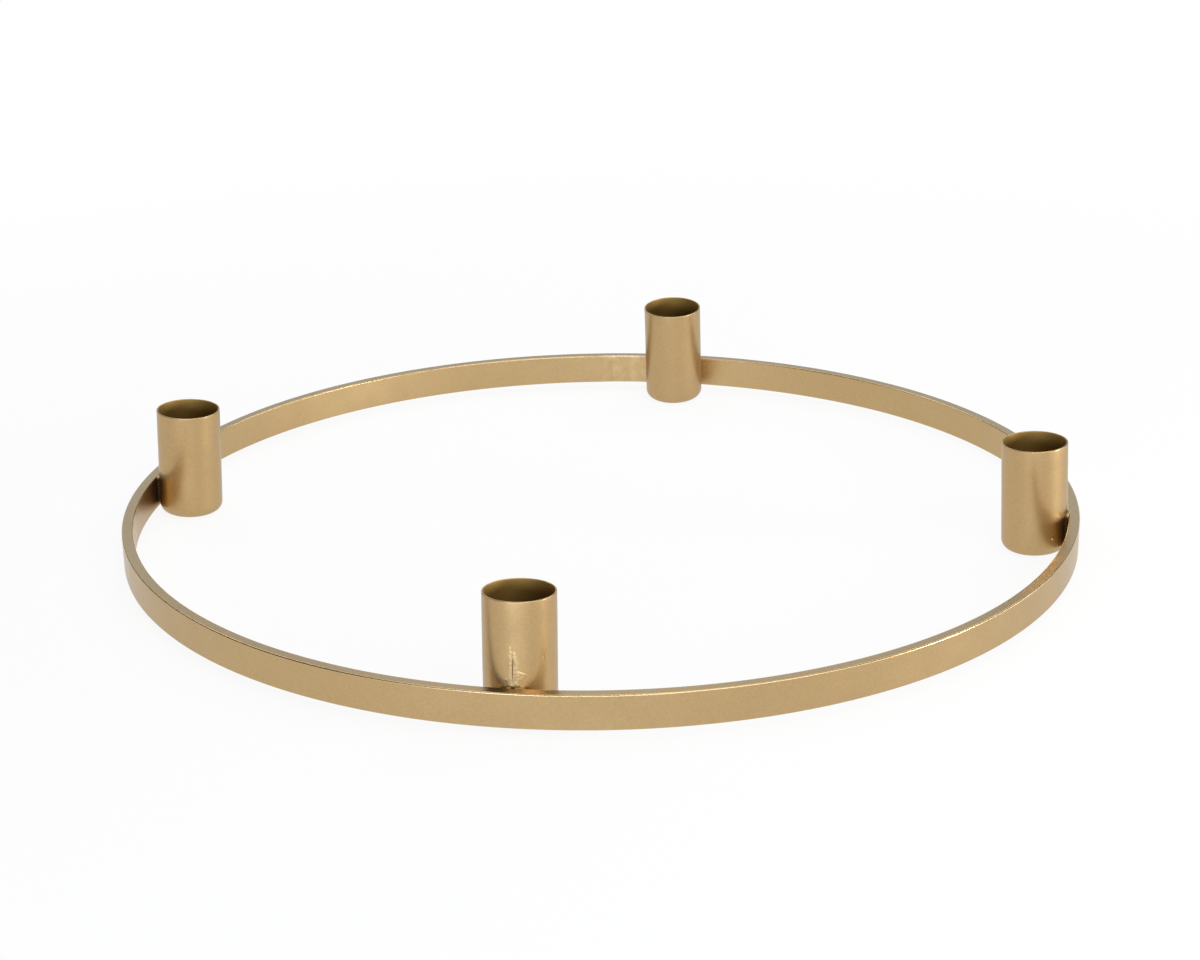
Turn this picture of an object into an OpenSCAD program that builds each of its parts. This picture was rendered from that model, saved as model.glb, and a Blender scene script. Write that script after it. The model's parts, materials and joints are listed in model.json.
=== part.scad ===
// Advent candle ring: a flat steel bar rolled to a ring and stood on edge, with four drawn
// candle cups welded inside it. Lengths are millimetres, angles are degrees, and +Z is up.
// The origin is the middle of the ring on the table top. The object stands on its cups, each of
// which was welded on with a slight lean towards the middle.

/* [Band] */
// Outer diameter of the ring
band_d = 350; // [250:5:500]
// Radial thickness of the flat bar
band_t = 4; // [3:0.5:6]
// Height of the flat bar, which stands on edge
band_h = 12; // [8:1:20]
// Rounding of the bar's four long edges
band_edge_r = 0.5; // [0.2:0.1:1]
// Height of the bar's lower edge above the table
band_lift = 2.2; // [0.2:0.1:6]

/* [Ring joint] */
// Direction of the butt weld that closes the ring
joint_angle = 98; // [97:1:170]
// Length of the butt weld along the bar
joint_w = 3; // [1:0.5:6]

/* [Cups] */
// Bore of a cup, which takes a 22 mm dinner candle
cup_bore_d = 22.4; // [20:0.2:26]
// Wall of a drawn cup
cup_wall = 0.6; // [0.4:0.1:1]
// Length of a cup, from its floor to its lip
cup_h = 40.5; // [30:0.5:60]
// Outside radius between a cup's floor and its wall
cup_corner_r = 3.5; // [2:0.5:5]
// Root gap between a cup and the bar where they are closest
root_gap = 0.05; // [0.05:0.05:0.2]

/* [Cup directions, set by eye around the ring] */
// Direction of the right cup
right_angle = 1.1; // [-4:0.1:4]
// Direction of the back cup
back_angle = 88.3; // [86:0.1:90]
// Direction of the left cup
left_angle = 179.8; // [176:0.1:184]
// Direction of the front cup
front_angle = 270.7; // [266:0.1:274]

/* [Cup leans, each towards the middle of the ring] */
// Lean of the right cup
right_lean = 2.0; // [0:0.1:8]
// Lean of the back cup
back_lean = 5.1; // [0:0.1:8]
// Lean of the left cup
left_lean = 2.2; // [0:0.1:8]
// Lean of the front cup
front_lean = 4.0; // [0:0.1:8]

/* [Cup welds] */
// Radius of the bead in the crevice on each side of the line of contact
bead_r = 1.4; // [0.8:0.1:1.6]
// Distance of a bead's middle from the line of contact
bead_offset = 3.9; // [3:0.1:5]
// How far a bead stands above the bar
bead_rise = 0.6; // [0:0.1:2]
// Height of the weld's run-out on the cup's wall, above the bar
runout_h = 15; // [4:1:24]
// Width of each of the two ridges of the run-out
ridge_w = 1.3; // [0.8:0.1:1.8]
// How far a ridge stands out of the cup's wall at its foot
ridge_proud = 0.3; // [0.25:0.05:0.4]
// How far a ridge still stands out at its top
ridge_tip_proud = 0.1; // [0.05:0.05:0.2]
// Width of the slit between the two ridges
slit_w = 0.5; // [0.3:0.1:1]

/* [Hidden] */
$fn = 180;

// Every cut runs past what it cuts by this much
overrun = 1;

// Lacquer colours
band_gold = "#c6ab86";
cup_gold = "#c2a274";
weld_gold = "#b99a70";

// The bar
band_r = band_d / 2;
band_in_r = band_r - band_t;
band_mid_r = band_r - band_t / 2;
band_top = band_lift + band_h;
joint_span = joint_w / band_mid_r * 180 / PI;

// The cups
bore_r = cup_bore_d / 2;
cup_r = bore_r + cup_wall;
lip_r = cup_wall / 2;

// A leaning cup stands on the inner side of its rounded corner, and comes closest to the bar just
// above the outer side of it. The middle of its floor is then at this height and radius.
function foot_z(lean) = (cup_r - cup_corner_r) * sin(lean) + cup_corner_r * (1 - cos(lean));
function foot_r(lean) =
  band_in_r - root_gap - cup_corner_r * (1 - sin(lean)) - (cup_r - cup_corner_r) * cos(lean);

// How far up its axis the side of a leaning cup that faces the bar reaches a height
function along_axis(lean, z) = (z - foot_z(lean) - cup_r * sin(lean)) / cos(lean);

// A bead fills the crevice over the straight part of the cup's wall. Across so narrow a bead the
// bar's inside face is as good as its chord. Its middle is set where the cup and the bar are closest.
function bead_foot(lean) = foot_z(lean) + cup_r * sin(lean) + cup_corner_r * cos(lean);
cup_axis_r = band_in_r - root_gap - cup_r;
bead_turn = asin(bead_offset / band_in_r);
bead_back_x = sqrt(band_in_r * band_in_r - bead_r * bead_r);
bead_cup_x = cup_axis_r * cos(bead_turn) + sqrt(cup_r * cup_r - pow(cup_axis_r * sin(bead_turn), 2));
bead_x = (bead_cup_x + bead_back_x) / 2;

// A ridge is part of a slender cone that is sunk in the cup's wall
ridge_r = (ridge_w * ridge_w / 4 + ridge_proud * ridge_proud) / (2 * ridge_proud);
ridge_tip_r = ridge_r - ridge_proud + ridge_tip_proud;
ridge_sink = ridge_r - ridge_proud;
ridge_turn = (slit_w + ridge_w) / 2 / cup_r * 180 / PI;

// A rectangle with one corner at the origin and all its corners rounded
module rounded_rectangle(width, height, r) {
  translate([r, 0]) square([width - 2 * r, height]);
  translate([0, r]) square([width, height - 2 * r]);
  for (x = [r, width - r], y = [r, height - r])
    translate([x, y]) circle(r);
}

// A stretch of the bar, from one direction around the ring to another
module bar(from, to) {
  rotate(from)
    rotate_extrude(angle = to - from)
      translate([band_in_r, band_lift])
        rounded_rectangle(band_t, band_h, band_edge_r);
}

// The rolled bar, open where its two ends meet
module band() {
  color(band_gold)
    bar(joint_angle + joint_span / 2, joint_angle + 360 - joint_span / 2);
}

// The weld that closes the ring, ground flush with the bar on every side
module butt_weld() {
  color(weld_gold)
    bar(joint_angle - joint_span / 2, joint_angle + joint_span / 2);
}

// Half the outline of a pot with a rounded corner between its floor and its wall
module pot_outline(r, height, corner_r) {
  translate([0, corner_r]) square([r, height - corner_r]);
  square([r - corner_r, height]);
  translate([r - corner_r, corner_r]) circle(corner_r);
}

// Takes what is drawn on an upright cup's axis to its place on the ring, with that cup's lean
module leaned(lean) {
  translate([foot_r(lean), 0, foot_z(lean)])
    rotate([0, -lean, 0])
      children();
}

// A cup drawn from one sheet: floor, rounded corner, straight wall and rounded lip
module candle_cup(angle, lean) {
  color(cup_gold)
    rotate(angle)
      leaned(lean)
        rotate_extrude() {
          difference() {
            pot_outline(cup_r, cup_h - lip_r, cup_corner_r);
            translate([0, cup_wall])
              pot_outline(bore_r, cup_h, cup_corner_r - cup_wall);
          }
          translate([bore_r + lip_r, cup_h - lip_r]) circle(lip_r);
        }
}

// The filler between the cup and the bar, on one side of where they are closest
module bead(side, lean) {
  difference() {
    translate([0, 0, bead_foot(lean)])
      linear_extrude(band_top + bead_rise - bead_foot(lean))
        rotate(side * bead_turn)
          intersection() {
            translate([bead_x, 0]) circle(bead_r);
            translate([bead_back_x - 4 * bead_r, -2 * bead_r]) square(4 * bead_r);
          }
    leaned(lean) translate([0, 0, -overrun]) cylinder(h = cup_h, r = cup_r);
  }
}

// One ridge of the run-out, which thins as it climbs the cup's wall from the top of the bar
module runout_ridge(side, lean) {
  leaned(lean) translate([0, 0, along_axis(lean, band_top)])
    difference() {
      rotate(side * ridge_turn)
        translate([cup_r - ridge_sink, 0, 0])
          cylinder(h = runout_h, r1 = ridge_r, r2 = ridge_tip_r);
      translate([0, 0, -overrun])
        cylinder(h = runout_h + 2 * overrun, r = cup_r);
    }
}

// The weld that holds one cup: a bead and a ridge on each side
module cup_weld(angle, lean) {
  color(weld_gold)
    rotate(angle)
      for (side = [-1, 1]) {
        bead(side, lean);
        runout_ridge(side, lean);
      }
}

band();
butt_weld();
candle_cup(right_angle, right_lean);  // cup_right
candle_cup(back_angle, back_lean);  // cup_back
candle_cup(left_angle, left_lean);  // cup_left
candle_cup(front_angle, front_lean);  // cup_front
cup_weld(right_angle, right_lean);  // weld_right
cup_weld(back_angle, back_lean);  // weld_back
cup_weld(left_angle, left_lean);  // weld_left
cup_weld(front_angle, front_lean);  // weld_front
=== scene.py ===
# Advent candle ring: the visual pieces, materials, floor, light and camera, built round the
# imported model. Everything is in metres, with the table at z = 0 and the ring's middle at the
# origin.
import json
from math import acos, atan2, cos, pi, radians, sin, sqrt, tan, tau

import bmesh
import bpy
from mathutils import Matrix, Quaternion, Vector, noise


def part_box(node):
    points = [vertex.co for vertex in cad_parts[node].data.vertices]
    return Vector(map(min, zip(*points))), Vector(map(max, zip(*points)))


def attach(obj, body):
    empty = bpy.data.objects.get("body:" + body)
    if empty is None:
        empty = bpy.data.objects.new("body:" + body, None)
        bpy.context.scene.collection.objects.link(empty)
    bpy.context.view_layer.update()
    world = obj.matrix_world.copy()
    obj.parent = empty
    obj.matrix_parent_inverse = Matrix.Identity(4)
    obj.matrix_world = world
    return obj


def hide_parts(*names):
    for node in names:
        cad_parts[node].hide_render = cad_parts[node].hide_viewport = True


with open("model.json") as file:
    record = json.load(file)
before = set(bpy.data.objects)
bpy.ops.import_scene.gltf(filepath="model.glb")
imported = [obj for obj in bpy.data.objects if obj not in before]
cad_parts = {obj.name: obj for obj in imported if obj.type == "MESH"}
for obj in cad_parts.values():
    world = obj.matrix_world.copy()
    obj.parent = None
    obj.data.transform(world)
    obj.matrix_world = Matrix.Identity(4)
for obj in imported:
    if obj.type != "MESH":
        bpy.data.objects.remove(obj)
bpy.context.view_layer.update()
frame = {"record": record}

MM = 0.001
scene = bpy.context.scene
scene.view_settings.view_transform = "Standard"


# Sizes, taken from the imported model

band_low, band_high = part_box("band")
band_r = min(band_high.x, band_high.y)    # its faces are cut short of a true circle there
band_foot, band_top = band_low.z, band_high.z
band_h = band_top - band_foot
band_middle = (band_foot + band_top) / 2

# Driving sizes that a bounding box doesn't give
BAND_T = 4 * MM               # thickness of the bar
BAND_EDGE_R = 0.5 * MM        # the bar's rolled edges
CUP_WALL = 0.6 * MM
CUP_H = 40.5 * MM             # from a cup's floor to its lip
CUP_CORNER_R = 3.5 * MM       # outside, between floor and wall
BORE_MARK = 22 * MM           # how far up a bore its place in the record is
JOINT_DIRECTION = radians(98)
JOINT_LENGTH = 3 * MM
GRINDING_DIRECTION = radians(96.5)    # the middle of the stretch that was ground flush
band_in_r = band_r - BAND_T
band_mid_r = band_r - BAND_T / 2
joint_half = JOINT_LENGTH / band_mid_r / 2

CUPS = ("right", "back", "left", "front")
bores = {name: next(m for m in frame["record"]["mounts"] if m["name"] == "candle_bore_" + name)
         for name in CUPS}
bore_r = bores["right"]["dims"]["r_mm"] * MM
cup_r = bore_r + CUP_WALL


class Stand:
    """Where a cup stands: its direction on the ring, its lean to the middle, and its floor."""

    def __init__(self, bore):
        up, place = Vector(bore["axis"]), Vector(bore["pos_m"])
        self.turn = atan2(place.y, place.x)
        self.lean = acos(up.z)
        foot = place - up * BORE_MARK
        self.foot_r, self.foot_z = Vector((foot.x, foot.y)).length, foot.z
        self.matrix = (Matrix.Translation(foot) @ Matrix.Rotation(self.turn, 4, "Z")
                       @ Matrix.Rotation(-self.lean, 4, "Y"))

    def up_wall(self, z):
        """How far up the wall that faces the bar a height is, from the cup's floor."""
        return (z - self.foot_z - cup_r * sin(self.lean)) / cos(self.lean)

    def wall(self, s, z):
        """How far the wall is from the ring's axis, this far to the side and at this height."""
        middle = self.foot_r - (z - self.foot_z) * tan(self.lean)
        return middle + sqrt(cup_r ** 2 - s ** 2) / cos(self.lean)


stands = {name: Stand(bores[name]) for name in CUPS}


# Camera

# A 75 mm lens on a full frame, 0.93 m from the ring, a little above and to the right
VIEW_AZIMUTH = radians(10.1)
VIEW_ELEVATION = radians(21.2638)
VIEW_DISTANCE = 5.325 * band_r
LENS = 75.008
SENSOR = 36
TILT_UP = radians(1.0104)
ROLL = radians(-0.9665)
CLIP = (0.01, 50)


def make_camera():
    camera = bpy.data.objects.new("camera", bpy.data.cameras.new("camera"))
    scene.collection.objects.link(camera)
    back = Vector((sin(VIEW_AZIMUTH) * cos(VIEW_ELEVATION),
                   -cos(VIEW_AZIMUTH) * cos(VIEW_ELEVATION),
                   sin(VIEW_ELEVATION)))
    camera.data.sensor_width = SENSOR
    camera.data.lens = LENS
    camera.data.clip_start, camera.data.clip_end = CLIP
    camera.rotation_mode = "QUATERNION"
    camera.location = Vector((0, 0, band_foot)) + back * VIEW_DISTANCE
    camera.rotation_quaternion = ((-back).to_track_quat("-Z", "Y")
                                  @ Quaternion((1, 0, 0), TILT_UP)
                                  @ Quaternion((0, 0, 1), ROLL))
    scene.camera = camera


make_camera()


# Nodes

def colour(code):
    """A linear colour from an sRGB hex code."""
    parts = [int(code[i:i + 2], 16) / 255 for i in (1, 3, 5)]
    linear = [c / 12.92 if c <= 0.04045 else ((c + 0.055) / 1.055) ** 2.4 for c in parts]
    return (*linear, 1)


def add(tree, kind, inputs=None, **settings):
    """Adds a node. Each input gets a value, an output, or a node, which then feeds its result."""
    made = tree.nodes.new(kind)
    for name, value in settings.items():
        setattr(made, name, value)
    for key, value in (inputs or {}).items():
        if isinstance(value, bpy.types.Node):
            value = next(output for output in value.outputs if output.enabled)
        if isinstance(value, bpy.types.NodeSocket):
            tree.links.new(value, made.inputs[key])
        else:
            made.inputs[key].default_value = value
    return made


# What add() sets on its node, and what it feeds it
SMOOTH = {"interpolation_type": "SMOOTHSTEP"}
COLOURS = {"data_type": "RGBA"}
TIMES = {"operation": "MULTIPLY"}
PLUS = {"operation": "ADD"}
MINUS = {"operation": "SUBTRACT"}

NOISE_RANGE = (0.25, 0.75)    # soft noise hardly ever lies outside this


def grain(where, size, detail=2.0, roughness=0.5):
    """Inputs for soft noise between 0 and 1, with features of this size."""
    return {"Vector": where, "Scale": 1 / size, "Detail": detail, "Roughness": roughness}


def fade(value, start, end, low=0.0, high=1.0):
    """Inputs for going from low to high while the value goes from start to end."""
    return {"Value": value, "From Min": start, "From Max": end, "To Min": low, "To Max": high}


def blend(share, first, second):
    """Inputs for going from the first colour to the second."""
    return {0: share, 6: first, 7: second}


def from_axis(tree, where):
    """How far a place is from the ring's axis."""
    flat = add(tree, "ShaderNodeVectorMath", {0: where, 1: (1, 1, 0)}, **TIMES)
    return add(tree, "ShaderNodeVectorMath", {0: flat}, operation="LENGTH")


def off_middle(tree, value, middle):
    """How far a value is from a middle, to either side."""
    gap = add(tree, "ShaderNodeMath", {0: value, 1: middle}, **MINUS)
    return add(tree, "ShaderNodeMath", {0: gap}, operation="ABSOLUTE")


# Materials

# Bronze-flake lacquer, sprayed on bare steel and left satin. Flakes of 20 to 60 micrometres lie
# nearly flat in a clear gold binder. They give a broad metal highlight and a fine sparkle, and
# the binder over them gives a weak pale gloss, which greys the colour where the surface turns
# away.
ROLLED_GOLD = ("#bc9f6f", "#b89968")      # where the gun's passes are dense, and between them
DRAWN_GOLD = ("#b99b6b", "#b59564")
WELD_GOLD = ("#ba9b6a", "#b08f5e")
RUN_OUT_GOLD = ("#ba9b6a", "#b69563")
LACQUER_RIM = "#e1ddd4"       # the flakes shade each other where the surface turns away
LACQUER_ROUGHNESS = (0.27, 0.35)
BINDER_ROUGHNESS = 0.35
BINDER_IOR = 1.5
FLAKE = 0.45 * MM             # ten times as coarse as the real flakes, or it wouldn't show
SPARKLE = (0.95, 1.04)        # the dullest and the brightest flake, as a share of the colour
SPRAY_CLOUD = 55 * MM         # how far apart the denser passes of the gun lie
ORANGE_PEEL = 1.6 * MM
GRIT = 0.3 * MM
SURFACE = {"Strength": 0.6, "Distance": 0.05 * MM}     # how deep peel and grit go


def new_material(name):
    material = bpy.data.materials.new(name)
    material.use_nodes = True
    material.node_tree.nodes.clear()
    return material, material.node_tree


def lacquer(name, tint, extra=None, peel=0.16, grit=0.08, gloss=0.6):
    """extra(tree, where, colour, rough, height) changes the last three for one use."""
    material, tree = new_material(name)
    where = add(tree, "ShaderNodeTexCoord").outputs["Object"]
    cloud = add(tree, "ShaderNodeTexNoise", grain(where, SPRAY_CLOUD, 3.0))
    base = add(tree, "ShaderNodeMix", blend(cloud, colour(tint[0]), colour(tint[1])), **COLOURS)
    flakes = add(tree, "ShaderNodeTexVoronoi", {"Vector": where, "Scale": 1 / FLAKE})
    chance = add(tree, "ShaderNodeSeparateColor", {"Color": flakes.outputs["Color"]}).outputs[0]
    light = add(tree, "ShaderNodeMapRange", fade(chance, 0.0, 1.0, *SPARKLE), **SMOOTH)
    grey = add(tree, "ShaderNodeCombineColor", {0: light, 1: light, 2: light})
    base = add(tree, "ShaderNodeMix", blend(1.0, base, grey), blend_type="MULTIPLY", **COLOURS)
    patches = add(tree, "ShaderNodeTexNoise", grain(where, SPRAY_CLOUD / 4, 4.0))
    rough = add(tree, "ShaderNodeMapRange", fade(patches, *NOISE_RANGE, *LACQUER_ROUGHNESS),
                **SMOOTH)
    dimples = add(tree, "ShaderNodeTexNoise", grain(where, ORANGE_PEEL))
    dust = add(tree, "ShaderNodeTexNoise", grain(where, GRIT, 1.0))
    height = add(tree, "ShaderNodeMath",
                 {0: add(tree, "ShaderNodeMath", {0: dimples, 1: peel}, **TIMES),
                  1: add(tree, "ShaderNodeMath", {0: dust, 1: grit}, **TIMES)}, **PLUS)
    if extra:
        base, rough, height = extra(tree, where, base, rough, height)
    bump = add(tree, "ShaderNodeBump", {**SURFACE, "Height": height})
    shader = add(tree, "ShaderNodeBsdfPrincipled",
                 {"Base Color": base, "Metallic": 1.0, "Roughness": rough,
                  "Specular Tint": colour(LACQUER_RIM), "Coat Weight": gloss,
                  "Coat Roughness": BINDER_ROUGHNESS, "Coat IOR": BINDER_IOR, "Normal": bump})
    add(tree, "ShaderNodeOutputMaterial", {"Surface": shader})
    return material


# The rolled edges are painted paler: partly worn thin lacquer, partly a painted highlight line
# along them.
WORN_EDGE_HIGHLIGHT = "#ecd2a6"
WORN_HIGHLIGHT_SHARE = 0.4
WORN_ROUGHNESS = 0.22
EDGE_LIMIT = 0.1 * MM         # this far inside the bar's outline the wear is full


def band_wear_and_highlight(tree, where, base, rough, height):
    """The bar's rolled edges hold less lacquer and are painted paler, partly wear and partly a
    painted highlight; the ground joint shows through it.
    """
    up = add(tree, "ShaderNodeSeparateXYZ", {"Vector": where}).outputs["Z"]
    across = add(tree, "ShaderNodeMapRange",
                 fade(off_middle(tree, from_axis(tree, where), band_mid_r),
                      BAND_T / 2 - BAND_EDGE_R, BAND_T / 2 - EDGE_LIMIT), **SMOOTH)
    upright = add(tree, "ShaderNodeMapRange",
                  fade(off_middle(tree, up, band_middle),
                       band_h / 2 - BAND_EDGE_R, band_h / 2 - EDGE_LIMIT), **SMOOTH)
    edge = add(tree, "ShaderNodeMath", {0: across, 1: upright}, **TIMES)
    worn = add(tree, "ShaderNodeMath", {0: edge, 1: WORN_HIGHLIGHT_SHARE}, **TIMES)
    base = add(tree, "ShaderNodeMix", blend(worn, base, colour(WORN_EDGE_HIGHLIGHT)), **COLOURS)
    rough = add(tree, "ShaderNodeMix", {0: edge, 2: rough, 3: WORN_ROUGHNESS})
    return ground_marks(tree, where, edge, base, rough, height)


GROUND_REACH = (7 * MM, 13 * MM)      # the marks fade between these distances from their middle
STROKE = (1, 1, 0.5)                  # they are twice as long up the bar as along it
STROKE_WIDTH = 3.2 * MM
STROKE_DEPTH = 1.4
STROKE_RAGGED = 0.6                   # roughness of their noise
GROUND_TONES = (("#cdb686", 0.5, 0.64), ("#a08350", 0.46, 0.34))    # from no share to its full
GROUND_SHARE = 0.35
GROUND_EDGE_HIGHLIGHT = "#fbe9c8"


def ground_marks(tree, where, edge, base, rough, height):
    """The joint was ground flush by hand, which left faint flats, and its edges there are painted
    bright, a painted highlight on the ground edge.
    """
    middle = Vector((cos(GRINDING_DIRECTION), sin(GRINDING_DIRECTION), 0)) * band_mid_r
    middle.z = band_middle
    gap = add(tree, "ShaderNodeVectorMath", {0: where, 1: middle}, operation="DISTANCE")
    near = add(tree, "ShaderNodeMapRange", fade(gap, *GROUND_REACH, 1.0, 0.0), **SMOOTH)
    stroke = add(tree, "ShaderNodeVectorMath", {0: where, 1: STROKE}, **TIMES)
    marks = add(tree, "ShaderNodeTexNoise", grain(stroke, STROKE_WIDTH, 3.0, STROKE_RAGGED))
    for tone, start, end in GROUND_TONES:
        flat = add(tree, "ShaderNodeMapRange", fade(marks, start, end), **SMOOTH)
        share = add(tree, "ShaderNodeMath", {0: near, 1: flat}, **TIMES)
        share = add(tree, "ShaderNodeMath", {0: share, 1: GROUND_SHARE}, **TIMES)
        base = add(tree, "ShaderNodeMix", blend(share, base, colour(tone)), **COLOURS)
    # The bar's edges near the joint are painted bright: a painted highlight on the ground edge.
    share = add(tree, "ShaderNodeMath", {0: near, 1: edge}, **TIMES)
    base = add(tree, "ShaderNodeMix", blend(share, base, colour(GROUND_EDGE_HIGHLIGHT)), **COLOURS)
    depth = add(tree, "ShaderNodeMath", {0: marks, 1: STROKE_DEPTH}, **TIMES)
    depth = add(tree, "ShaderNodeMath", {0: near, 1: depth}, **TIMES)
    height = add(tree, "ShaderNodeMath", {0: height, 1: depth}, **PLUS)
    return base, rough, height


# Painted shade on the beads where they lie down in the crevice between cup and bar.
CREVICE_SHADE = "#2e2110"
CREVICE_SHADE_SHARE = 0.95
CREVICE_SHADE_ROUGHNESS = 0.6
CREVICE_SHADE_EDGE = (band_top - 0.9 * MM, band_top + 0.1 * MM)


def crevice_shade(tree, where, base, rough, height):
    """Below the top of the bar a bead lies in the crevice, and there it is painted dark and
    rough, a painted shade.
    """
    up = add(tree, "ShaderNodeSeparateXYZ", {"Vector": where}).outputs["Z"]
    shaded = add(tree, "ShaderNodeMapRange", fade(up, *CREVICE_SHADE_EDGE, 1.0, 0.0), **SMOOTH)
    share = add(tree, "ShaderNodeMath", {0: shaded, 1: CREVICE_SHADE_SHARE}, **TIMES)
    base = add(tree, "ShaderNodeMix", blend(share, base, colour(CREVICE_SHADE)), **COLOURS)
    rough = add(tree, "ShaderNodeMix", {0: shaded, 2: rough, 3: CREVICE_SHADE_ROUGHNESS})
    return base, rough, height


# A painted highlight on the proud weld metal, and painted shade in the slit and at the foot.
PROUD_HIGHLIGHT, PROUD_HIGHLIGHT_SHARE = "#c8b38c", 0.5
SLIT_SHADE, SLIT_SHADE_SHARE = "#4a3517", 0.85
WELD_ROUGHNESS = 0.75


def weld_relief(tree, where, base, rough, height):
    """Proud metal is painted paler, a painted highlight. The slit between the ridges and the foot
    by the bar are painted dark, a painted shade.
    """
    proud = add(tree, "ShaderNodeAttribute", attribute_name="proud").outputs["Fac"]
    dark = add(tree, "ShaderNodeAttribute", attribute_name="dark").outputs["Fac"]
    for fact, tone, most in ((proud, PROUD_HIGHLIGHT, PROUD_HIGHLIGHT_SHARE), (dark, SLIT_SHADE, SLIT_SHADE_SHARE)):
        share = add(tree, "ShaderNodeMath", {0: fact, 1: most}, **TIMES)
        base = add(tree, "ShaderNodeMix", blend(share, base, colour(tone)), **COLOURS)
    bare = add(tree, "ShaderNodeMath", {0: proud, 1: dark}, operation="MAXIMUM")
    rough = add(tree, "ShaderNodeMix", {0: bare, 2: rough, 3: WELD_ROUGHNESS})
    return base, rough, height


# Inside the cups the colour is painted darker from a little below the lip down, a painted shade
# deep in the cup, with faint specks in it.
INSIDE_SHADE_TONES = ("#7d602b", "#9e7a3e")
INSIDE_LIP_TONE = "#a58344"
INSIDE_SHADE_REACH = (9 * MM, 0.3 * MM)       # below the lip, from the full painted shade to the lip's own colour
MIST_SPECK = 0.5 * MM
MIST_SHARE = 0.5              # of the paler tone at most
MIST_METALLIC = 0.7           # the inside isn't wholly metal
MIST_ROUGHNESS = 0.55
SCALE_SURFACE = {"Strength": 0.5, "Distance": 0.03 * MM}


def make_shaded_inside():
    material, tree = new_material("drawn_steel_inside_painted_shade")
    where = add(tree, "ShaderNodeTexCoord").outputs["Object"]
    up = add(tree, "ShaderNodeAttribute", attribute_name="up").outputs["Fac"]
    reach = add(tree, "ShaderNodeMapRange",
                fade(up, CUP_H - INSIDE_SHADE_REACH[0], CUP_H - INSIDE_SHADE_REACH[1]), **SMOOTH)
    specks = add(tree, "ShaderNodeTexNoise", grain(where, MIST_SPECK, 3.0))
    mist = add(tree, "ShaderNodeMath", {0: specks, 1: MIST_SHARE}, **TIMES)
    deep = add(tree, "ShaderNodeMix", blend(mist, *map(colour, INSIDE_SHADE_TONES)), **COLOURS)
    base = add(tree, "ShaderNodeMix", blend(reach, deep, colour(INSIDE_LIP_TONE)), **COLOURS)
    scale = add(tree, "ShaderNodeTexNoise", grain(where, GRIT, 2.0))
    bump = add(tree, "ShaderNodeBump", {**SCALE_SURFACE, "Height": scale})
    shader = add(tree, "ShaderNodeBsdfPrincipled",
                 {"Base Color": base, "Metallic": MIST_METALLIC, "Roughness": MIST_ROUGHNESS,
                  "Normal": bump})
    add(tree, "ShaderNodeOutputMaterial", {"Surface": shader})
    return material


band_lacquer = lacquer("bronze_lacquer_on_rolled_steel", ROLLED_GOLD, band_wear_and_highlight)
cup_lacquer = lacquer("bronze_lacquer_on_drawn_steel", DRAWN_GOLD)
weld_lacquer = lacquer("bronze_lacquer_on_weld_metal", WELD_GOLD, crevice_shade,
                       peel=0.5, grit=0.6, gloss=0.1)
run_out_lacquer = lacquer("bronze_lacquer_on_run_out", RUN_OUT_GOLD, weld_relief,
                          peel=0.4, grit=0.4, gloss=0.4)
cup_inside = make_shaded_inside()


# Making pieces

def new_piece(name, mesh):
    piece = bpy.data.objects.new(name, mesh)
    scene.collection.objects.link(piece)
    return piece


def finished(name, mesh, *materials):
    """A piece from a finished bmesh, with its faces pointing outwards."""
    data = bpy.data.meshes.new(name)
    bmesh.ops.recalc_face_normals(mesh, faces=mesh.faces)
    mesh.to_mesh(data)
    mesh.free()
    for material in materials:
        data.materials.append(material)
    return new_piece(name, data)


def hold(piece, slot, *nodes):
    """Fixes a piece to the object in place of the nodes that it stands for. Its slot is not used.
    """
    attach(piece, "root")
    if nodes:
        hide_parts(*nodes)


def as_mesh(piece):
    """Turns a piece's modifiers into plain mesh."""
    shaped = piece.evaluated_get(bpy.context.evaluated_depsgraph_get())
    mesh = bpy.data.meshes.new_from_object(shaped)
    piece.modifiers.clear()
    piece.data = mesh
    mesh.name = piece.name
    return piece


def even_shading(piece, sharp):
    """Flat faces shade flat and the roundings between them shade round, up to a sharp edge."""
    piece.data.shade_smooth()
    piece.data.set_sharp_from_angle(angle=sharp)
    modifier = piece.modifiers.new("flats", "WEIGHTED_NORMAL")
    modifier.keep_sharp = True
    return as_mesh(piece)


SOCKETS = {float: "NodeSocketFloat", int: "NodeSocketInt",
           bpy.types.Material: "NodeSocketMaterial"}


def new_tree(name, inputs):
    """An empty Geometry Nodes tree with these named inputs, and its input node's sockets."""
    tree = bpy.data.node_groups.new(name, "GeometryNodeTree")
    for label, kind in inputs.items():
        tree.interface.new_socket(name=label, in_out="INPUT", socket_type=SOCKETS[kind])
    tree.interface.new_socket(name="Geometry", in_out="OUTPUT", socket_type="NodeSocketGeometry")
    return tree, add(tree, "NodeGroupInput").outputs


def end_tree(tree, geometry, material):
    real = add(tree, "GeometryNodeRealizeInstances", {"Geometry": geometry})
    painted = add(tree, "GeometryNodeSetMaterial", {"Geometry": real, "Material": material})
    add(tree, "NodeGroupOutput", {"Geometry": painted})


def grow(name, tree, values):
    """Makes a mesh piece from a Geometry Nodes tree and the values of its named inputs."""
    piece = new_piece(name, bpy.data.meshes.new(name))
    modifier = piece.modifiers.new(tree.name, "NODES")
    modifier.node_group = tree
    for item in tree.interface.items_tree:
        if item.in_out == "INPUT" and item.name in values:
            modifier[item.identifier] = values[item.name]
    return as_mesh(piece)


# The bar

# Flat bar with rolled edges, swept round part of the ring. Hand rolling leaves it a little
# uneven.
EDGE_STEPS = 6
BAR_STEPS, JOINT_STEPS = 720, 24
JOINT_CUTS = 4                # of each edge of the joint's section, so that it can be uneven
BAR_WAVE, BAR_WAVE_LENGTH = 0.08 * MM, 40 * MM
JOINT_WAVE, JOINT_WAVE_LENGTH = 0.12 * MM, 1.2 * MM
BAR_SHARP = radians(40)


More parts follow.
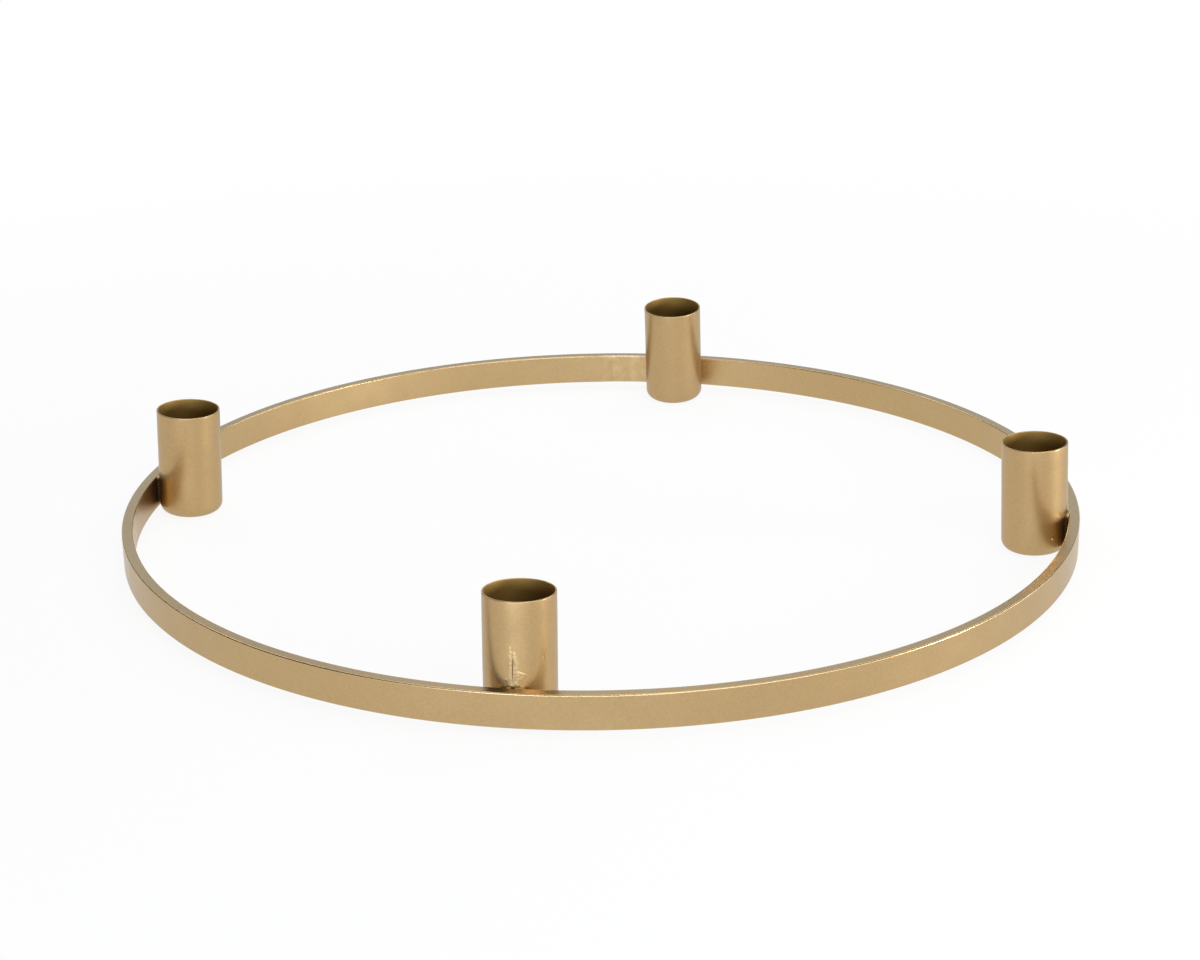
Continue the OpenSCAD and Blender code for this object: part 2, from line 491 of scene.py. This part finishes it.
def bar_tree():
    tree, given = new_tree("rolled_bar", {
        "Middle radius": float, "Thickness": float, "Height": float, "Foot": float,
        "Edge radius": float, "From": float, "Sweep": float, "Steps": int, "Cuts": int,
        "Unevenness": float, "Uneven length": float, "Lacquer": bpy.types.Material})
    path = add(tree, "GeometryNodeCurveArc",
               {"Resolution": given["Steps"], "Radius": given["Middle radius"],
                "Start Angle": given["From"], "Sweep Angle": given["Sweep"]})
    section = add(tree, "GeometryNodeCurvePrimitiveQuadrilateral",
                  {"Width": given["Thickness"], "Height": given["Height"]})
    rounded = add(tree, "GeometryNodeFilletCurve",
                  {"Curve": section, "Radius": given["Edge radius"], "Count": EDGE_STEPS},
                  mode="POLY")
    cut = add(tree, "GeometryNodeSubdivideCurve", {"Curve": rounded, "Cuts": given["Cuts"]})
    bar = add(tree, "GeometryNodeCurveToMesh",
              {"Curve": path, "Profile Curve": cut, "Fill Caps": True})
    waves = add(tree, "ShaderNodeTexNoise",
                {"Vector": add(tree, "GeometryNodeInputPosition"), "Detail": 1.0,
                 "Scale": add(tree, "ShaderNodeMath", {0: 1.0, 1: given["Uneven length"]},
                              operation="DIVIDE")})
    swing = add(tree, "ShaderNodeMath", {0: waves, 1: 0.5}, **MINUS)
    swing = add(tree, "ShaderNodeMath", {0: swing, 1: given["Unevenness"]}, **TIMES)
    shift = add(tree, "ShaderNodeVectorMath",
                {0: add(tree, "GeometryNodeInputNormal"), "Scale": swing}, operation="SCALE")
    hand_rolled = add(tree, "GeometryNodeSetPosition", {"Geometry": bar, "Offset": shift})
    half = add(tree, "ShaderNodeMath", {0: given["Height"], 1: 0.5}, **TIMES)
    middle = add(tree, "ShaderNodeMath", {0: given["Foot"], 1: half}, **PLUS)
    lift = add(tree, "ShaderNodeCombineXYZ", {"Z": middle})
    placed = add(tree, "GeometryNodeTransform", {"Geometry": hand_rolled, "Translation": lift})
    end_tree(tree, placed, given["Lacquer"])
    return tree


def make_band():
    tree = bar_tree()
    shared = {"Middle radius": band_mid_r, "Thickness": BAND_T, "Height": band_h,
              "Foot": band_foot, "Edge radius": BAND_EDGE_R, "Lacquer": band_lacquer}
    bar = grow("rolled_bar", tree, {
        **shared, "From": JOINT_DIRECTION + joint_half, "Sweep": tau - 2 * joint_half,
        "Steps": BAR_STEPS, "Cuts": 0, "Unevenness": BAR_WAVE, "Uneven length": BAR_WAVE_LENGTH})
    hold(even_shading(bar, BAR_SHARP), "band_lacquer", "band")
    seam = grow("ground_butt_weld", tree, {
        **shared, "From": JOINT_DIRECTION - joint_half, "Sweep": 2 * joint_half,
        "Steps": JOINT_STEPS, "Cuts": JOINT_CUTS,
        "Unevenness": JOINT_WAVE, "Uneven length": JOINT_WAVE_LENGTH})
    hold(even_shading(seam, BAR_SHARP), "weld_lacquer", "butt_weld")


make_band()


# The cups

# One drawn cup, turned about its axis from an outline up the outside and down the inside
TURN_STEPS = 144
WALL_STEP = 1.5 * MM
CORNER_STEPS, INNER_CORNER_STEPS = 12, 8
LIP_STEPS, INNER_LIP_STEPS = 6, 2
LIP_REACH = 0.75 * pi         # how far round the lip the outside's lacquer goes
WALL_WAVE = 0.04 * MM         # how far a drawn wall is from true round
WALL_WAVE_LENGTH = 12 * MM
CUP_SHARP = radians(60)


def arc(middle, radius, start, end, steps):
    """Points on an arc of an outline, from one direction to another."""
    return [(middle[0] + radius * cos(a), middle[1] + radius * sin(a))
            for a in (start + (end - start) * i / steps for i in range(steps + 1))]


def rise(x, low, high):
    """Points on a straight wall between two heights, both ends left out."""
    steps = max(2, round(abs(high - low) / WALL_STEP))
    return [(x, low + (high - low) * i / steps) for i in range(1, steps)]


def cup_outline():
    """The outside's points and the inside's. They meet on the lip."""
    inner_corner = CUP_CORNER_R - CUP_WALL
    lip_r = CUP_WALL / 2
    lip = (bore_r + lip_r, CUP_H - lip_r)
    outside = [(0, 0), (cup_r / 3, 0)]
    outside += arc((cup_r - CUP_CORNER_R, CUP_CORNER_R), CUP_CORNER_R, -pi / 2, 0, CORNER_STEPS)
    outside += rise(cup_r, CUP_CORNER_R, lip[1])
    outside += arc(lip, lip_r, 0, LIP_REACH, LIP_STEPS)
    inside = arc(lip, lip_r, LIP_REACH, pi, INNER_LIP_STEPS)[1:]
    inside += rise(bore_r, lip[1], CUP_WALL + inner_corner)
    inside += arc((bore_r - inner_corner, CUP_WALL + inner_corner), inner_corner, 0, -pi / 2,
                  INNER_CORNER_STEPS)
    inside += [(bore_r / 3, CUP_WALL), (0, CUP_WALL)]
    return outside, inside


def wall_wave(spot, seed):
    """How far a cup's wall is from true round at a place."""
    return WALL_WAVE * noise.noise(spot / WALL_WAVE_LENGTH + Vector((seed, 0, 0)))


def skin(mesh, loops):
    """Faces between closed loops of corners. A loop of one corner is a pole."""
    count = max(len(loop) for loop in loops)
    for lower, upper in zip(loops, loops[1:]):
        for i in range(count):
            j = (i + 1) % count
            if len(lower) == 1:
                mesh.faces.new((lower[0], upper[j], upper[i]))
            elif len(upper) == 1:
                mesh.faces.new((lower[i], lower[j], upper[0]))
            else:
                mesh.faces.new((lower[i], lower[j], upper[j], upper[i]))


def turned(outline, seed):
    """A closed body of revolution. Its outline starts and ends on the axis."""
    mesh = bmesh.new()
    rings = []
    for r, z in outline:
        if r == 0:
            rings.append([mesh.verts.new((0, 0, z))])
            continue
        ring = []
        for i in range(TURN_STEPS):
            a = tau * i / TURN_STEPS
            spot = Vector((cos(a) * r, sin(a) * r, z))
            out = r + wall_wave(spot, seed)
            ring.append(mesh.verts.new((cos(a) * out, sin(a) * out, z)))
        rings.append(ring)
    skin(mesh, rings)
    return mesh


def make_cup(name, seed):
    outside, inside = cup_outline()
    mesh = turned(outside + inside, seed)
    up = mesh.verts.layers.float.new("up")
    for vert in mesh.verts:
        vert[up] = vert.co.z
    mesh.faces.ensure_lookup_table()
    for face in mesh.faces[(len(outside) - 1) * TURN_STEPS:]:
        face.material_index = 1
    mesh.transform(stands[name].matrix)
    piece = finished("drawn_cup_" + name, mesh, cup_lacquer, cup_inside)
    hold(even_shading(piece, CUP_SHARP), "cup_lacquer", "cup_" + name)


for number, cup_name in enumerate(CUPS):
    make_cup(cup_name, number)


# The beads of the welds

# A bead in the crevice on each side of a cup's line of contact, laid upwards in small
# overlapping drops
BEAD_HEAD = band_top + 0.2 * MM
BEAD_NEAR = 0.6 * MM          # from the line of contact to the bead's root
BEAD_FAR = 5.0 * MM           # and to its face
BEAD_LEVELS = 84
BEAD_SIDE_STEPS, BEAD_FACE_STEPS = 5, 7
BEAD_SWELL = 0.35 * MM        # how far its face bulges
BEAD_BLUNT = 5                # the higher, the blunter its two ends close
BEAD_END = 0.02               # how little of it is left there
BEAD_CAP = 0.3 * MM           # how far it reaches over the bar's top face
BEAD_WANDER, BEAD_WANDER_LENGTH = 0.25 * MM, 2 * MM
RIPPLE = 1.1 * MM             # height of one drop
RIPPLE_DEPTH = 0.28 * MM
RIPPLE_MEAN = 0.6             # how far out the face is on average, as a share of that depth
SUNK = 0.2 * MM               # how deep a weld's hidden side goes into what carries it


def wall_of_band(s):
    """How far the bar's inside face is from the ring's axis, this far to the side."""
    return sqrt(band_in_r ** 2 - s ** 2)


def along(low, high, steps):
    return [low + (high - low) * i / steps for i in range(steps + 1)]


def uneven(spot, size, seed):
    """Smooth noise from -1 to 1, with features of this size."""
    return noise.noise(Vector(spot) / size + Vector((seed * 7.3, seed * 3.1, seed * 1.7)))


def bead_section(stand, foot, z, side, seed):
    """One level of a bead, in the ring's own x and y before it turns to its cup."""
    share = abs(2 * (z - foot) / (BEAD_HEAD - foot) - 1)
    closing = sqrt(max(BEAD_END, 1 - share ** BEAD_BLUNT))
    drop = sqrt(abs(sin(pi * (z - foot) / RIPPLE)))
    far = (BEAD_FAR + RIPPLE_DEPTH * (drop - RIPPLE_MEAN)
           + BEAD_WANDER * uneven((0, side, z), BEAD_WANDER_LENGTH, seed))
    far = BEAD_NEAR + (far - BEAD_NEAR) * closing
    over_bar = SUNK + (BEAD_CAP * closing if z > band_top else 0)
    cup_side = [(stand.wall(s, z) - SUNK, s) for s in along(BEAD_NEAR, far, BEAD_SIDE_STEPS)]
    band_side = [(wall_of_band(s) + over_bar, s) for s in along(far, BEAD_NEAR, BEAD_SIDE_STEPS)]
    (x0, _), (x1, _) = cup_side[-1], band_side[0]
    swell = BEAD_SWELL * closing
    face = [(x0 + (x1 - x0) * i / BEAD_FACE_STEPS, far + swell * sin(pi * i / BEAD_FACE_STEPS))
            for i in range(1, BEAD_FACE_STEPS)]
    return [(x, side * s) for x, s in cup_side + face + band_side]


def add_bead(mesh, name, side, seed):
    stand = stands[name]
    turn = stand.turn
    foot = stand.foot_z + cup_r * sin(stand.lean) + CUP_CORNER_R * cos(stand.lean)
    levels = []
    for z in along(foot, BEAD_HEAD, BEAD_LEVELS):
        levels.append([
            mesh.verts.new((x * cos(turn) - y * sin(turn), x * sin(turn) + y * cos(turn), z))
            for x, y in bead_section(stand, foot, z, side, seed)])
    skin(mesh, levels)
    mesh.faces.new(levels[0][::-1])
    mesh.faces.new(levels[-1])


# The run-out of the welds

# Where the weld climbed the cup's wall above the bar: a thin film, two ridges with a slit between
# them, a crust with a raised rim beside the right one, and a blob beside the left one. The slit
# and the foot by the bar are painted dark, a painted shade.
# Here u goes round the wall from the line of contact and v up it from the bar, both in mm.
# across and up give a form's middle and half its size, and proud how far it stands out.
RUN_OUT_SIDE = (-5.0, 6.6)
RUN_OUT_RISE = (-1.5, 17.6)
RUN_OUT_GRID = (96, 150)
RUN_OUT_BACK = -0.3           # how deep its hidden side lies in the wall
EDGE_SINKS = 0.8              # it goes under the wall's surface over this width
EDGE_DEPTH = 0.1
PALEST = 0.13                 # metal that stands out this far is as pale as it gets
FILM = {"across": (0.3, 4.6), "top": 16, "fading": 8, "proud": 0.09, "sunk": 0.06}
LEFT_RIDGE = {"lean": (-1.15, -0.75), "foot": -1.0, "top": 15.0, "half": 1.05, "proud": 0.12}
RIGHT_RIDGE = {"lean": (0.95, 0.6), "foot": -1.0, "top": 12.0, "half": 0.95, "proud": 0.13}
RIM = {"across": (3.2, 2.6), "middle": 5.2, "slope": 0.35, "half": 0.6, "proud": 0.1}
CRUST = {"across": (3.1, 2.7), "up": (3.7, 2.0), "proud": 0.05, "rough": 0.1, "lump": 0.6}
BLOB = {"across": (-2.0, 1.5), "up": (2.2, 0.8), "proud": 0.1, "lump": 0.7}
# The slit and the run-out's foot by the bar are painted dark: painted shade in the groove and at
# the crevice.
SLIT = {"middle": -0.15, "sway": 0.12, "half": 0.34, "up": (6.0, 5.0), "depth": 0.03}
FOOT_SHADE = {"across": (0.5, 8.0), "top": 1.0, "fading": 1.2}
RIDGE_WANDER, RIDGE_WANDER_LENGTH = 0.22, 2.2
RIDGE_FOOT_WIDTH, RIDGE_NARROWS = 1.1, 0.45       # its width at the foot, and how much is lost
RIDGE_SWELL, RIDGE_SWELL_LENGTH = 0.45, 1.1
RIDGE_MEAN, RIDGE_LUMP, RIDGE_LUMP_LENGTH = 0.75, 0.6, 0.8
RIDGE_FOOT_RISE, RIDGE_TOP_FALL = 0.8, 3
BLOB_MEAN, BLOB_LUMP = 0.8, 0.4
SLIT_SWAY_LENGTH = 2.5
SLIT_FADE, FOOT_SHADE_FADE = 0.35, 0.5      # the lower, the more evenly dark before it ends


def hump(value, middle, half):
    """1 at the middle, falling smoothly to 0 at half a width to either side."""
    share = abs(value - middle) / half
    return (1 - share * share) ** 2 if share < 1 else 0.0


def below(v, limits):
    """1 well below a form's top, falling to 0 at it."""
    return min(1, max(0, (limits["top"] - v) / limits["fading"]))


def ridge(u, v, seed, lean, foot, top, half, proud):
    """How far a ridge stands out. It leans from one u to another, wanders, and thins."""
    if not foot < v < top:
        return 0.0
    climb = v / top
    middle = (lean[0] + (lean[1] - lean[0]) * climb
              + RIDGE_WANDER * uneven((0, v, 0), RIDGE_WANDER_LENGTH, seed))
    thick = (half * (RIDGE_FOOT_WIDTH - RIDGE_NARROWS * climb)
             * (1 + RIDGE_SWELL * uneven((5, v, 0), RIDGE_SWELL_LENGTH, seed)))
    ends = min(1, (v - foot) / RIDGE_FOOT_RISE) * min(1, (top - v) / RIDGE_TOP_FALL)
    lumps = RIDGE_MEAN + RIDGE_LUMP * uneven((u, v, 0), RIDGE_LUMP_LENGTH, seed)
    return proud * ends * hump(u, middle, thick) * lumps


def run_out(u, v, seed):
    """How far the run-out stands out of the cup's wall in mm, and how much painted shade a place
    gets.
    """
    film = FILM["proud"] * hump(u, *FILM["across"]) * below(v, FILM) - FILM["sunk"]
    left = ridge(u, v, seed, **LEFT_RIDGE)
    right = ridge(u, v, seed + 1, **RIGHT_RIDGE)
    rim = (hump(u, *RIM["across"])
           * hump(v - RIM["middle"] + RIM["slope"] * u, 0.0, RIM["half"]) * RIM["proud"])
    crust = (hump(u, *CRUST["across"]) * hump(v, *CRUST["up"])
             * (CRUST["proud"] + CRUST["rough"] * uneven((u, v, 2), CRUST["lump"], seed)))
    blob = (BLOB["proud"] * hump(u, *BLOB["across"]) * hump(v, *BLOB["up"])
            * (BLOB_MEAN + BLOB_LUMP * uneven((u, v, 4), BLOB["lump"], seed)))
    lump = max(0.0, left) + max(0.0, right) + rim + max(0.0, crust) + max(0.0, blob)
    sway = SLIT["sway"] * uneven((0, v, 9), SLIT_SWAY_LENGTH, seed)
    slit = hump(u, SLIT["middle"] + sway, SLIT["half"]) * hump(v, *SLIT["up"]) ** SLIT_FADE
    foot_shade = hump(u, *FOOT_SHADE["across"]) ** FOOT_SHADE_FADE * below(v, FOOT_SHADE)
    return film + lump * (1 - slit) - SLIT["depth"] * slit, max(slit, foot_shade)


def add_run_out(mesh, name, seed, cup_seed):
    """A closed low relief on the cup's wall. Its edges lie under the wall's own surface."""
    proud = mesh.verts.layers.float.new("proud")
    dark = mesh.verts.layers.float.new("dark")
    stand = stands[name]
    bar_level = stand.up_wall(band_top)

    def spot(u, v, out):
        a = u * MM / cup_r
        place = Vector((cup_r * cos(a), cup_r * sin(a), bar_level + v * MM))
        away = (cup_r + out * MM + wall_wave(place, cup_seed)) / cup_r
        return mesh.verts.new(stand.matrix @ Vector((place.x * away, place.y * away, place.z)))

    columns = along(*RUN_OUT_SIDE, RUN_OUT_GRID[0])
    rows = along(*RUN_OUT_RISE, RUN_OUT_GRID[1])
    front = []
    for v in rows:
        line = []
        for u in columns:
            relief, darkness = run_out(u, v, seed)
            edge = min(u - columns[0], columns[-1] - u, rows[-1] - v) / EDGE_SINKS
            relief = relief if edge > 1 else relief * edge - EDGE_DEPTH * (1 - edge)
            corner = spot(u, v, relief)
            corner[proud] = min(1, max(0, relief / PALEST))
            corner[dark] = darkness
            line.append(corner)
        front.append(line)
    back = [[spot(u, v, RUN_OUT_BACK) for u in columns] for v in (rows[0], rows[-1])]
    for lower, upper in zip(front, front[1:]):
        for i in range(len(columns) - 1):
            mesh.faces.new((lower[i], lower[i + 1], upper[i + 1], upper[i]))
    for i in range(len(columns) - 1):
        mesh.faces.new((back[0][i + 1], back[0][i], back[1][i], back[1][i + 1]))
        mesh.faces.new((back[0][i], back[0][i + 1], front[0][i + 1], front[0][i]))
        mesh.faces.new((front[-1][i], front[-1][i + 1], back[1][i + 1], back[1][i]))
    mesh.faces.new([line[0] for line in front][::-1] + [back[0][0], back[1][0]])
    mesh.faces.new([line[-1] for line in front] + [back[1][-1], back[0][-1]])


def make_weld(name, cup_seed):
    seed = cup_seed + 1
    mesh = bmesh.new()
    for side in (-1, 1):
        add_bead(mesh, name, side, seed)
    beads = finished("weld_beads_" + name, mesh, weld_lacquer)
    beads.data.shade_smooth()
    hold(beads, "weld_lacquer", "weld_" + name)
    mesh = bmesh.new()
    add_run_out(mesh, name, seed, cup_seed)
    relief = finished("weld_run_out_" + name, mesh, run_out_lacquer)
    relief.data.shade_smooth()
    hold(relief, "weld_lacquer")


for number, cup_name in enumerate(CUPS):
    make_weld(cup_name, number)


# Spatter

# Droplets that stuck to the cup's wall beside a weld
SPATTER = {"Count": 7, "Direction": 0.0, "Spread": radians(40),
           "Smallest": 0.08 * MM, "Largest": 0.2 * MM}
SPATTER_RISE = (0.5 * MM, 9 * MM)     # above the bar
SPATTER_SEED = 11
DROPLET = {"Count": 1, "Direction": radians(-57.5), "Spread": 0.0, "Seed": 1,
           "Low": 7 * MM, "High": 7 * MM, "Smallest": 0.7 * MM, "Largest": 0.7 * MM}


def spatter_tree():
    tree, given = new_tree("weld_spatter", {
        "Count": int, "Wall radius": float, "Direction": float, "Spread": float, "Low": float,
        "High": float, "Smallest": float, "Largest": float, "Seed": int,
        "Lacquer": bpy.types.Material})
    other_way = add(tree, "ShaderNodeMath", {0: given["Spread"], 1: -1}, **TIMES)
    limits = ((other_way, given["Spread"]), (given["Low"], given["High"]),
              (given["Smallest"], given["Largest"]))
    chances = []
    for offset, (low, high) in enumerate(limits):
        seed = add(tree, "ShaderNodeMath", {0: given["Seed"], 1: offset}, **PLUS)
        chances.append(add(tree, "FunctionNodeRandomValue", {2: low, 3: high, "Seed": seed},
                           data_type="FLOAT"))
    swing, height, size = chances
    turn = add(tree, "ShaderNodeMath", {0: given["Direction"], 1: swing}, **PLUS)
    place = add(tree, "ShaderNodeCombineXYZ", {2: height})
    for axis, way in enumerate(("COSINE", "SINE")):
        share = add(tree, "ShaderNodeMath", {0: turn}, operation=way)
        out = add(tree, "ShaderNodeMath", {0: given["Wall radius"], 1: share}, **TIMES)
        tree.links.new(out.outputs[0], place.inputs[axis])
    points = add(tree, "GeometryNodePoints", {"Count": given["Count"], "Position": place})
    drop = add(tree, "GeometryNodeMeshIcoSphere", {"Radius": 1.0, "Subdivisions": 2})
    drops = add(tree, "GeometryNodeInstanceOnPoints",
                {"Points": points, "Instance": drop, "Scale": size})
    end_tree(tree, drops, given["Lacquer"])
    return tree


def scatter(name, tree, cup_name, values):
    """Grows drops round an upright cup at the origin and takes them to their own cup."""
    drops = grow(name, tree, {**values, "Wall radius": cup_r, "Lacquer": cup_lacquer})
    drops.data.transform(stands[cup_name].matrix)
    drops.data.shade_smooth()
    hold(drops, "weld_lacquer")


def make_spatter():
    tree = spatter_tree()
    for number, name in enumerate(CUPS):
        bar_level = stands[name].up_wall(band_top)
        scatter("weld_spatter_" + name, tree, name, {
            **SPATTER, "Seed": number + SPATTER_SEED,
            "Low": bar_level + SPATTER_RISE[0], "High": bar_level + SPATTER_RISE[1]})
    scatter("weld_droplet_right", tree, "right", DROPLET)


make_spatter()


# Floor, room and lamps

WHITE, COOL, WARM = "#ffffff", "#dcebff", "#fff1de"
PAPER = "#f4f4f4"
PAPER_R = 9.0
PAPER_RIM = 1.5               # how far the paper turns up at its rim
PAPER_STEPS = 96
PAPER_DROP = 0.05 * MM        # below the cups, so that no two faces lie in one plane
WHITE_SHARE = 0.9             # of the paper that is seen at its own white, however it is lit
WHITE_REACH = (0.25, 0.7)     # from the ring's axis, over which that share goes up to all
ROOM_LIGHT = 0.02


def make_floor():
    """White paper. The camera and reflections see it part lit and part at its own white."""
    material, tree = new_material("white_paper_floor")
    paths = add(tree, "ShaderNodeLightPath").outputs
    seen = paths["Is Camera Ray"]
    for kind in ("Is Glossy Ray", "Is Transmission Ray"):
        seen = add(tree, "ShaderNodeMath", {0: seen, 1: paths[kind]}, operation="MAXIMUM")
    where = add(tree, "ShaderNodeTexCoord").outputs["Object"]
    share = add(tree, "ShaderNodeMapRange",
                fade(from_axis(tree, where), *WHITE_REACH, WHITE_SHARE, 1.0), **SMOOTH)
    mixed = add(tree, "ShaderNodeMixShader",
                {0: add(tree, "ShaderNodeMath", {0: seen, 1: share}, **TIMES),
                 1: add(tree, "ShaderNodeBsdfDiffuse", {"Color": colour(PAPER)}),
                 2: add(tree, "ShaderNodeEmission", {"Color": colour(WHITE), "Strength": 1.0})})
    add(tree, "ShaderNodeOutputMaterial", {"Surface": mixed})
    mesh = bmesh.new()
    turns = [tau * i / PAPER_STEPS for i in range(PAPER_STEPS)]
    rings = [[mesh.verts.new((PAPER_R * cos(a), PAPER_R * sin(a), z)) for a in turns]
             for z in (PAPER_RIM, 0)]
    skin(mesh, rings)
    mesh.faces.new(rings[-1])
    data = bpy.data.meshes.new("floor")
    mesh.to_mesh(data)
    mesh.free()
    data.materials.append(material)
    floor = new_piece("floor", data)
    floor.location.z = -PAPER_DROP


def make_world():
    """The room beyond the paper, which adds only a little light of its own."""
    world = bpy.data.worlds.new("room")
    scene.world = world
    world.use_nodes = True
    tree = world.node_tree
    tree.nodes.clear()
    light = add(tree, "ShaderNodeBackground", {"Color": colour(WHITE), "Strength": ROOM_LIGHT})
    add(tree, "ShaderNodeOutputWorld", {"Surface": light})


# Softboxes round the object: azimuth and elevation in degrees, width, height and distance in
# metres, watts and tint
SOFTBOXES = {
    "front_left_softbox": (-102, 7, 0.31, 0.25, 1.1, 3.0, COOL),
    "front_softbox": (-87, 7, 0.31, 0.25, 1.1, 1.75, COOL),
    "front_right_softbox": (-72, 7, 0.31, 0.25, 1.1, 1.55, COOL),
    "low_left_softbox": (-120, 6, 0.25, 0.18, 0.9, 0.28, WHITE),
    "low_warm_softbox": (-19, 6, 0.22, 0.18, 0.9, 0.6, WARM),
    "low_right_softbox": (-6, 6, 0.22, 0.18, 0.9, 4.0, WHITE),
    "low_far_right_softbox": (20, 6, 0.22, 0.18, 0.9, 0.6, WHITE),
    "high_right_softbox": (55, 45, 0.4, 0.35, 0.9, 1.3, WHITE),
    "high_far_softbox": (100, 45, 0.4, 0.35, 0.9, 0.5, WHITE),
    "high_far_left_softbox": (145, 45, 0.4, 0.35, 0.9, 1.1, WHITE),
    "far_panel": (100, 21, 1.7, 0.5, 1.3, 2.7, COOL),
    "fill_softbox": (-48, 32, 0.8, 0.4, 1.0, 3.9, WHITE),
    "overhead_softbox": (90, 90, 1.2, 1.2, 1.2, 7.0, WHITE),
}
LAMP_AIM = Vector((0, 0, 20 * MM))


def make_softbox(name, azimuth, elevation, width, height, distance, watts, tint):
    data = bpy.data.lights.new(name, "AREA")
    data.color = colour(tint)[:3]
    data.shape = "RECTANGLE"
    data.size, data.size_y = width, height
    data.energy = watts
    lamp = bpy.data.objects.new(name, data)
    scene.collection.objects.link(lamp)
    turn, tilt = radians(azimuth), radians(elevation)
    away = Vector((cos(turn) * cos(tilt), sin(turn) * cos(tilt), sin(tilt)))
    lamp.location = LAMP_AIM + away * distance
    lamp.rotation_mode = "QUATERNION"
    lamp.rotation_quaternion = away.to_track_quat("Z", "Y")
    lamp.visible_camera = False


make_floor()
make_world()
for box_name, values in SOFTBOXES.items():
    make_softbox(box_name, *values)
